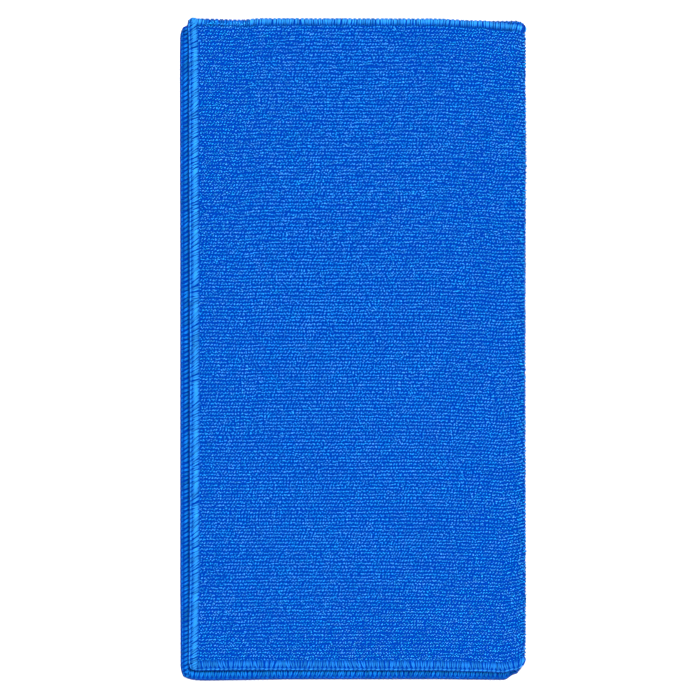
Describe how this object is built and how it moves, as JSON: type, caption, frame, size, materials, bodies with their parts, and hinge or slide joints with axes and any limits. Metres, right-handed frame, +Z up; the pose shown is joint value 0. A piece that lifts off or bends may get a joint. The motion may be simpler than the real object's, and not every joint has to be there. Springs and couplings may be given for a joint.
{
  "type": "microfibre cloth",
  "caption": "Square microfibre cleaning cloth with looped faces and an overlocked hem, folded in half and lying flat, for wiping and drying.",
  "frame": {"origin": "middle of the underside, on the surface that the cloth lies on", "axes": "+Z up, +Y along the fold from the front edge to the back edge, +X across the cloth towards the fold"},
  "size_m": [0.2076, 0.3978, 0.0065],
  "materials": {
    "microfibre": "matt looped pile",
    "overlock_thread": "soft sheen textured yarn"
  },
  "bodies": {
    "root": {"cloth": "microfibre"}
  },
  "joints": []
}
